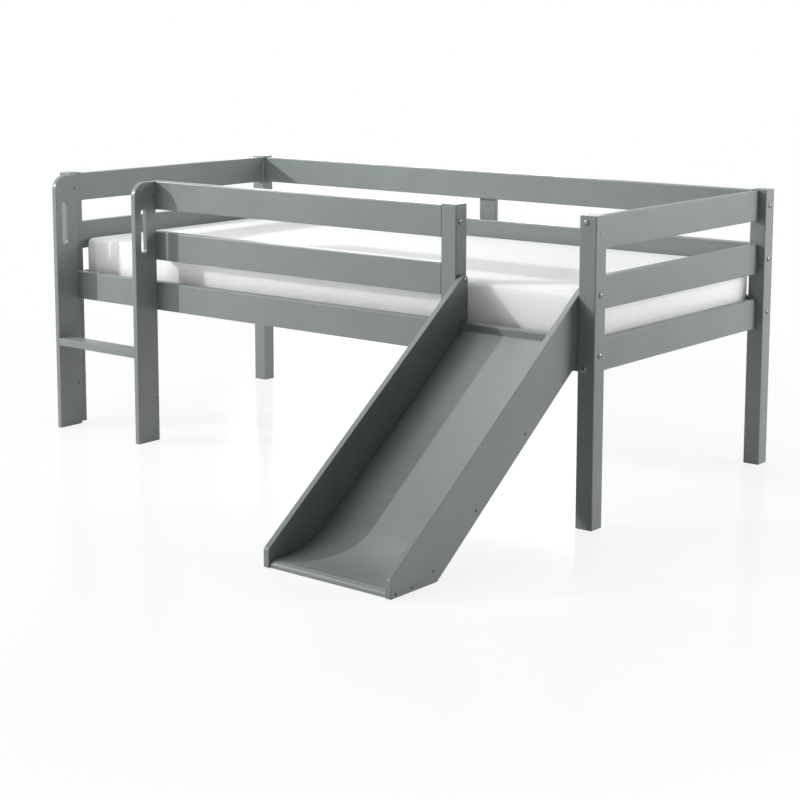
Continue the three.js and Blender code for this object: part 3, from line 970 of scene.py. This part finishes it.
def pressed(piece, most):
    """Fills a closed cover with air: cloth under pressure, without weight, for 20 frames.

    The moves d are then scaled to most / max |d|, so that the furthest one is most.
    """
    scene = bpy.context.scene
    before = points_of(piece.data)
    cloth = piece.modifiers.new("filling", "CLOTH")
    cloth.settings.quality = 5
    cloth.settings.mass = 0.3
    cloth.settings.tension_stiffness = 30
    cloth.settings.compression_stiffness = 30
    cloth.settings.shear_stiffness = 15
    cloth.settings.bending_stiffness = 8
    cloth.settings.use_pressure = True
    cloth.settings.uniform_pressure_force = 4
    cloth.settings.effector_weights.gravity = 0
    for moment in range(1, 21):
        scene.frame_set(moment)
    filled = piece.evaluated_get(bpy.context.evaluated_depsgraph_get())
    move = points_of(filled.data) - before
    piece.modifiers.remove(cloth)
    scene.frame_set(1)
    return before + move * most / np.linalg.norm(move, axis=1).max()


def tightened(away, zone):
    """Distances from the mattress's planes, drawn towards them as the foam fills out its edges.

    Within the zone z, a distance d becomes z * (d / z) ** 1.6, so that the edges stay crisp.
    """
    return np.where(away < zone, zone * (np.maximum(away, 0) / zone) ** 1.6, away)


def tucked(spots, low, high, sizes):
    """Draws the sides in at the seam, by tuck * (1 - d / reach) at a height d from it."""
    away = np.abs(spots[:, 2:] - low[2] - sizes.seam)
    inwards = sizes.tuck * np.maximum(0, 1 - away / sizes.tuck_reach)
    plan = spots[:, :2]
    near_low = plan - low[:2] < sizes.edge_zone
    near_high = high[:2] - plan < sizes.edge_zone
    plan = plan + inwards * near_low - inwards * near_high
    return np.concatenate([plan, spots[:, 2:]], -1)


def mattress_grid(long, wide, high, sizes):
    """The unfilled mattress about the middle of its underside, as rings from below to above.

    The lower edge is a quarter round of half the soft edge, the upper one of the whole. Inside
    it, a ring at share s of the plan stands crown * (1 - s * s) higher. The long sides are drawn
    in by drawn_in * (1 - (2 x / long) ** 2), and the short ones likewise. At a share n of the
    way from the middle to a side, the pull is n ** 6 of that.
    """
    count = 420
    turn = np.linspace(0, pi / 2, 7)
    lower, upper = 0.5 * sizes.soft_edge, sizes.soft_edge
    insets = np.concatenate([lower * (1 - np.sin(turn)), upper * (1 - np.cos(turn))])
    heights = np.concatenate([lower * (1 - np.cos(turn)), high - upper * (1 - np.sin(turn))])
    shares = np.ones_like(insets)
    inner = np.linspace(0.95, 0.05, 10)
    insets = np.concatenate([np.full(3, lower), insets, np.full(10, upper)])
    heights = np.concatenate([np.zeros(3), heights, high + sizes.crown * (1 - inner**2)])
    shares = np.concatenate([[0.05, 0.5, 0.9], shares, inner])
    rings = []
    for edge, share in zip(insets, shares):
        corner = max(sizes.soft_corner - edge, sizes.soft_corner / 4)
        rings.append(share * rounded_plan(long - 2 * edge, wide - 2 * edge, corner, count))
    plan = np.stack(rings)
    draw = sizes.drawn_in * np.stack(
        [1 - (2 * plan[..., 1] / wide) ** 2, 1 - (2 * plan[..., 0] / long) ** 2], -1
    )
    near = np.abs(plan) / (np.array([long, wide]) / 2)
    plan = plan - np.sign(plan) * draw * near**6
    return np.concatenate([plan, heights[:, None, None] + np.zeros(plan.shape[:2] + (1,))], -1)


# Operators


class LOFTBED_OT_timber(bpy.types.Operator):
    """Lacquers the posts and rails, whose shape the frame gives"""

    bl_idname = "loft_bed.timber"
    bl_label = "Posts and rails"

    def execute(self, context):
        upright = satin_lacquer("satin_lacquer_upright", (0.004, 0.004, 0.16))
        along = satin_lacquer("satin_lacquer_lengthwise", (0.16, 0.004, 0.004))
        across = satin_lacquer("satin_lacquer_crosswise", (0.004, 0.16, 0.004))
        painted(
            {
                "post_": upright,
                "guard_post": upright,
                "back_stile": upright,
                "back_rail_": along,
                "front_rail_": along,
                "guard_rail_": along,
                "ladder_rung": along,
                "end_rail_": across,
            }
        )
        return {"FINISHED"}


class LOFTBED_OT_slats(bpy.types.Operator):
    """Gives the slats and their bearers their bare pine"""

    bl_idname = "loft_bed.slats"
    bl_label = "Slatted base"

    def execute(self, context):
        painted(
            {
                "slat_": planed_pine("planed_pine_crosswise", (0.012, 0.5, 0.012)),
                "bearer_": planed_pine("planed_pine_lengthwise", (0.5, 0.012, 0.012)),
            }
        )
        return {"FINISHED"}


class LOFTBED_OT_ladder(bpy.types.Operator):
    """Dresses the two ladder boards, with their rounded corners and hand slots shaded smoothly"""

    bl_idname = "loft_bed.ladder"
    bl_label = "Ladder boards"

    def execute(self, context):
        lacquer = bpy.data.materials["satin_lacquer_upright"]
        for side in ("left", "right"):
            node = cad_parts[f"ladder_board_{side}"]
            corners = np.empty(len(node.data.loops), np.int32)
            node.data.loops.foreach_get("vertex_index", corners)
            # Corners within a hundredth of a millimetre are one, so that the surface is closed
            grid = np.round(points_of(node.data), 5)
            merged, number = np.unique(grid, axis=0, return_inverse=True)
            triangles = number.reshape(-1)[corners].reshape(-1, 3)
            apart = triangles != np.roll(triangles, 1, axis=1)
            mesh = bpy.data.meshes.new(f"ladder_side_{side}")
            mesh.from_pydata(merged, [], triangles[apart.all(axis=1)].tolist())
            piece = dressed(f"ladder_side_{side}", mesh, lacquer, sharp=radians(46))
            belongs(piece, "bed", "lacquer", f"ladder_board_{side}")
        return {"FINISHED"}


class LOFTBED_OT_slide(bpy.types.Operator):
    """Makes the slide: two side boards, the bent surface and the rounded nose"""

    bl_idname = "loft_bed.slide"
    bl_label = "Slide"

    def execute(self, context):
        sizes = settings("loft_bed_sizes")
        slope, _, _ = slide_lines()
        sloping = satin_lacquer("satin_lacquer_sloping", (0.004, 0.16, 0.004), slope)
        along = bpy.data.materials["satin_lacquer_lengthwise"]
        shape = side_board_outline()
        for side in ("left", "right"):
            low, high = box_of(f"slide_board_{side}")
            piece = board(f"slide_side_{side}", shape, low[0], high[0], sizes.rim, sloping)
            belongs(piece, "bed", "lacquer", f"slide_board_{side}")
        low, high = box_of("slide_surface")
        piece = board(
            "slide_bed", surface_outline(), low[0], high[0], sizes.fine_rim, sloping
        )
        belongs(piece, "bed", "lacquer", "slide_surface")
        low, high = box_of("slide_nose")
        piece = board("slide_foot", nose_outline(), low[0], high[0], sizes.fine_rim, along)
        belongs(piece, "bed", "lacquer", "slide_nose")
        return {"FINISHED"}


class LOFTBED_OT_bolts(bpy.types.Operator):
    """Makes the domed bolts with their hex sockets, and the cap in the unused hole"""

    bl_idname = "loft_bed.bolts"
    bl_label = "Bolts and cap"

    def execute(self, context):
        sizes = settings("loft_bed_sizes")
        steel = plated_steel("plated_steel", settings("loft_bed_finishes").bolt)
        for name in [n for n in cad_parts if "bolt" in n]:
            axis = np.array(bolt_axis(name), float)
            low, high = box_of(name)
            middle = (low + high) / 2
            reach = float((high - low) @ np.abs(axis))
            seat = middle + axis * (reach / 2 - sizes.head_high)
            profile, lobes = bolt_profile(sizes, reach - sizes.head_high)
            grid = pointed(turned(profile, lobes, 36), axis, seat)
            belongs(closed_mesh(f"{name}_steel", grid, steel), "bed", "bolt_steel", name)
        name = "hole_plug_right_front"
        low, high = box_of(name)
        middle = (low + high) / 2
        radius = (high[2] - low[2]) / 2
        proud = 0.0015
        turn = np.linspace(0, 0.9 * pi / 2, 8)
        crown = np.stack([radius * np.cos(turn), proud * (0.4 + 0.6 * np.sin(turn))], -1)
        thin = sizes.shank_radius
        profile = np.concatenate(
            [[[0.8 * thin, low[0] - high[0] + proud], [thin, 0], [radius, 0]], crown]
        )
        seat = (high[0] - proud, middle[1], middle[2])
        grid = pointed(turned(profile, [circle] * len(profile), 32), (1, 0, 0), seat)
        piece = closed_mesh("hole_cap", grid, moulded_plastic("moulded_polyethylene"))
        belongs(piece, "bed", "plug", name)
        return {"FINISHED"}


class LOFTBED_OT_screws(bpy.types.Operator):
    """Sets the five screws of each slide board, in the middle of the surface's thickness"""

    bl_idname = "loft_bed.screws"
    bl_label = "Slide screws"

    def execute(self, context):
        sizes = settings("loft_bed_sizes")
        # The screw heads get a dark steel: painted shade that stands in for the shaded countersinks
        # round them.
        steel = plated_steel("dark_steel_painted_countersink_shade", settings("loft_bed_finishes").screw)
        slope, bend, _ = slide_lines()
        nose_low, nose_high = box_of("slide_nose")
        reach = sizes.slide_bend + sizes.slide_thick / 2
        start = bend + reach * np.array([sin(slope), -cos(slope)])
        straight = start + np.outer(SCREWS_UP, (cos(slope), sin(slope)))
        bent = bend + reach * np.array([[sin(turn), -cos(turn)] for turn in SCREWS_ROUND])
        nose = [[nose_low[1] + SCREW_IN_NOSE, (nose_low[2] + nose_high[2]) / 2]]
        spots = np.concatenate([straight, bent, nose])
        profile, lobes = screw_profile(sizes)
        head = turned(profile, lobes, 24)
        for side, facing in (("left", -1), ("right", 1)):
            low, high = box_of(f"slide_board_{side}")
            face = low[0] if facing < 0 else high[0]
            for number, (y, z) in enumerate(spots, 1):
                grid = pointed(head, (facing, 0, 0), (face, y, z))
                piece = closed_mesh(f"slide_screw_{side}_{number}", grid, steel)
                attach(piece, "bed")
        return {"FINISHED"}


class LOFTBED_OT_mattress(bpy.types.Operator):
    """Makes the mattress: a crowned form whose cover is filled by simulation"""

    bl_idname = "loft_bed.mattress"
    bl_label = "Mattress"

    def execute(self, context):
        sizes = settings("loft_bed_sizes")
        low, high = box_of("mattress")
        long, wide, tall = high - low
        middle = np.array([(low[0] + high[0]) / 2, (low[1] + high[1]) / 2, low[2]])
        grid = middle + mattress_grid(long, wide, tall - sizes.crown - sizes.swell, sizes)
        cloth = knitted_cover("knitted_cover", low[2] + sizes.seam)
        piece = closed_mesh("mattress_cover", grid, cloth, sharp=radians(80))
        piece.modifiers.clear()
        context.view_layer.objects.active = piece
        piece.data.remesh_voxel_size = sizes.cloth_step
        piece.data.use_remesh_fix_poles = False
        bpy.ops.object.voxel_remesh()
        spots = pressed(piece, sizes.swell)
        # It lies flat on the slats, and its sides reach as far as the frame's mattress
        spots[:, 2] = np.maximum(spots[:, 2], low[2])
        least, most = spots.min(0), spots.max(0)
        spots = low + (spots - least) * (high - low) / (most - least)
        spots = low + tightened(spots - low, sizes.edge_zone)
        spots = high - tightened(high - spots, sizes.edge_zone)
        spots = tucked(spots, low, high, sizes)
        piece.data.vertices.foreach_set("co", spots.astype(np.float32).ravel())
        piece.data.update()
        piece.data.polygons.foreach_set("use_smooth", np.ones(len(piece.data.polygons), bool))
        finer = piece.modifiers.new("finer", "SUBSURF")
        finer.levels = 1
        finer.render_levels = 1
        belongs(piece, "mattress", "cover", "mattress")
        return {"FINISHED"}


class LOFTBED_OT_stage(bpy.types.Operator):
    """Sets the camera, the lamps, the pale surroundings and the floor"""

    bl_idname = "loft_bed.stage"
    bl_label = "Stage"

    def execute(self, context):
        stage = settings("loft_bed_stage")
        scene = context.scene
        lens = bpy.data.cameras.new("camera")
        lens.sensor_width = 36
        lens.lens = stage.lens
        lens.shift_x, lens.shift_y = stage.shift
        lens.clip_end = 100
        camera = bpy.data.objects.new("camera", lens)
        camera.location = stage.camera
        camera.rotation_euler = (pi / 2 - stage.tilt, 0, stage.heading)
        scene.collection.objects.link(camera)
        scene.camera = camera
        scene.view_settings.view_transform = "Standard"
        small, large = 0.2, 2.2
        aim_at = Vector((0, 0, 0.4))
        lamps = (
            ("key_lamp", stage.key, small, stage.key_place),
            ("front_lamp", stage.front, large, stage.front_place),
            ("side_lamp", stage.side, large, stage.side_place),
            ("top_lamp", stage.top, large, stage.top_place),
            ("back_lamp", stage.back, large, stage.back_place),
        )
        for name, watts, size, spot in lamps:
            light = bpy.data.lights.new(name, "AREA")
            light.shape = "DISK"
            light.size = size
            light.energy = watts
            lamp = bpy.data.objects.new(name, light)
            lamp.location = spot
            aim = aim_at - Vector(spot)
            lamp.rotation_euler = aim.to_track_quat("-Z", "Y").to_euler()
            scene.collection.objects.link(lamp)
        world = bpy.data.worlds.new("surroundings")
        world.use_nodes = True
        tree = world.node_tree
        tree.nodes.clear()
        ambient = add(
            tree, "ShaderNodeBackground", {"Color": (1, 1, 1, 1), "Strength": stage.ambient}
        )
        white = add(tree, "ShaderNodeBackground", {"Color": (1, 1, 1, 1), "Strength": 1.0})
        both = add(
            tree,
            "ShaderNodeMixShader",
            {0: seen_directly(tree).outputs[0], 1: ambient.outputs[0], 2: white.outputs[0]},
        )
        add(tree, "ShaderNodeOutputWorld", {"Surface": both.outputs[0]})
        scene.world = world
        # A flat floor: (x, y, 0) on a coarse grid
        reach, cells = 9.0, 6
        across = np.linspace(-reach, reach, cells + 1)
        x, y = np.meshgrid(across, across, indexing="ij")
        spots = np.stack([x, y, np.zeros_like(x)], -1).reshape(-1, 3)
        row, column = np.divmod(np.arange(cells**2), cells)
        first = row * (cells + 1) + column
        after = first + cells + 1
        faces = np.stack([first, after, after + 1, first + 1], -1)
        mesh = bpy.data.meshes.new("floor")
        mesh.from_pydata(spots, [], faces.tolist())
        mesh.materials.append(studio_floor("glossy_laminate"))
        floor = bpy.data.objects.new("floor", mesh)
        scene.collection.objects.link(floor)
        return {"FINISHED"}


class LOFTBED_PT_panel(bpy.types.Panel):
    """Lists the pieces and the settings"""

    bl_idname = "LOFTBED_PT_panel"
    bl_label = "Loft bed"
    bl_space_type = "VIEW_3D"
    bl_region_type = "UI"
    bl_category = "Loft bed"

    def draw(self, context):
        layout = self.layout
        for operator in OPERATORS:
            layout.operator(operator.bl_idname)
        for group in GROUPS:
            values = getattr(context.scene, group)
            column = layout.box().column()
            for name in values.bl_rna.properties.keys():
                if name not in ("rna_type", "name"):
                    column.prop(values, name)


OPERATORS = (
    LOFTBED_OT_stage,
    LOFTBED_OT_timber,
    LOFTBED_OT_slats,
    LOFTBED_OT_ladder,
    LOFTBED_OT_slide,
    LOFTBED_OT_bolts,
    LOFTBED_OT_screws,
    LOFTBED_OT_mattress,
)
GROUPS = {
    "loft_bed_finishes": LoftBedFinishes,
    "loft_bed_sizes": LoftBedSizes,
    "loft_bed_stage": LoftBedStage,
}


def register():
    """Adds the settings, the operators and the panel."""
    for kind in (*GROUPS.values(), *OPERATORS, LOFTBED_PT_panel):
        bpy.utils.register_class(kind)
    for name, kind in GROUPS.items():
        setattr(bpy.types.Scene, name, bpy.props.PointerProperty(type=kind))


def unregister():
    """Takes them away again."""
    for name in GROUPS:
        delattr(bpy.types.Scene, name)
    for kind in (LOFTBED_PT_panel, *reversed(OPERATORS), *reversed(GROUPS.values())):
        bpy.utils.unregister_class(kind)


def main():
    register()
    for operator in OPERATORS:
        group, name = operator.bl_idname.split(".")
        getattr(getattr(bpy.ops, group), name)()


if __name__ == "__main__":
    main()
